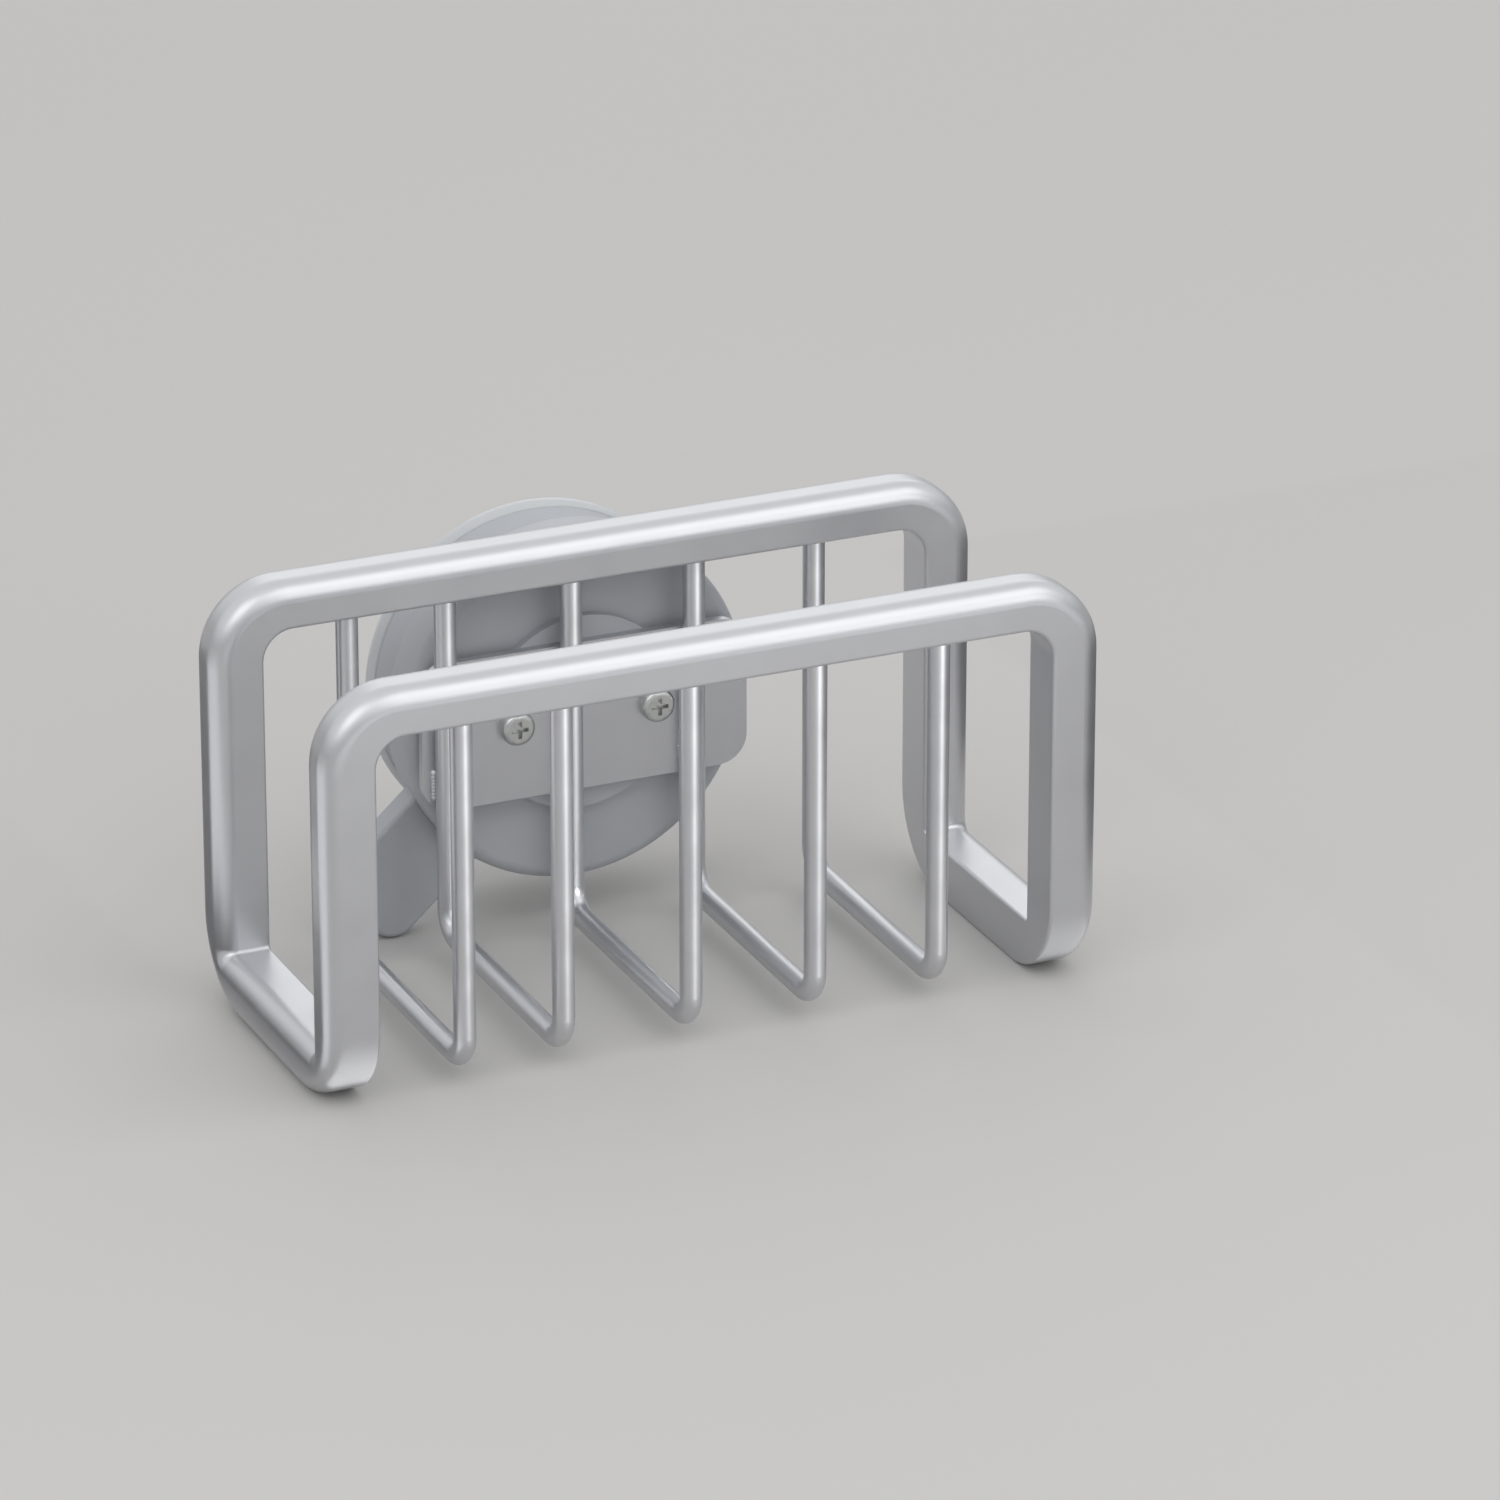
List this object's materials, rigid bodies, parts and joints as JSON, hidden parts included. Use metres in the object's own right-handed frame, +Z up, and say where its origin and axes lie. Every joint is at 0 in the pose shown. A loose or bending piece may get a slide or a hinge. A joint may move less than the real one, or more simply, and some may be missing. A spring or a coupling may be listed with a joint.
{
  "type": "sponge holder",
  "caption": "Open steel bar-and-wire basket for a kitchen sponge, held on a smooth wall by a lever-locked suction mount behind it.",
  "frame": {"origin": "centre of the suction lip's face on the wall", "axes": "+X to the right along the wall, +Y into the wall, +Z up; the basket lies on the -Y side"},
  "size_m": [0.135, 0.0799, 0.0721],
  "materials": {
    "satin_steel": "bead-blasted and electropolished stainless steel, a soft satin sheen",
    "grey_plastic": "injection-moulded grey plastic, fine matt texture",
    "white_acetal": "smooth stamped acetal",
    "brass": "turned",
    "plated_steel": "zinc-plated",
    "spring_steel": "oiled spring steel",
    "soft_pad": "soft translucent grey elastomer, smooth from the mould"
  },
  "bodies": {
    "basket": {"front_arch": "satin_steel", "rear_arch": "satin_steel", "base_bar_left": "satin_steel", "base_bar_right": "satin_steel", "wire_1": "satin_steel", "wire_2": "satin_steel", "wire_3": "satin_steel", "wire_4": "satin_steel", "wire_5": "satin_steel", "mount_plate": "satin_steel", "plate_screws": "plated_steel", "mount_cap": "grey_plastic", "cap_screws": "plated_steel", "pressure_bell": "grey_plastic", "slip_washer": "white_acetal", "suction_pad": "soft_pad"},
    "lever": {"lock_lever": "grey_plastic", "lock_nut": "brass"},
    "stud": {"pull_stud": "plated_steel", "stud_clip": "spring_steel"}
  },
  "joints": [
    {"name": "lever_turn", "type": "hinge", "parent": "basket", "child": "lever", "pos_m": [0, -0.015, 0], "axis": [0, -1, 0], "range_deg": [0, 90]},
    {"name": "stud_slide", "type": "slide", "parent": "basket", "child": "stud", "axis": [0, 1, 0], "range_m": [0, 0.002], "deforming": ["suction_pad"]}
  ],
  "couplings": [
    {"joint": "stud_slide", "follows": "lever_turn", "m_per_rad": 0.001273}
  ]
}
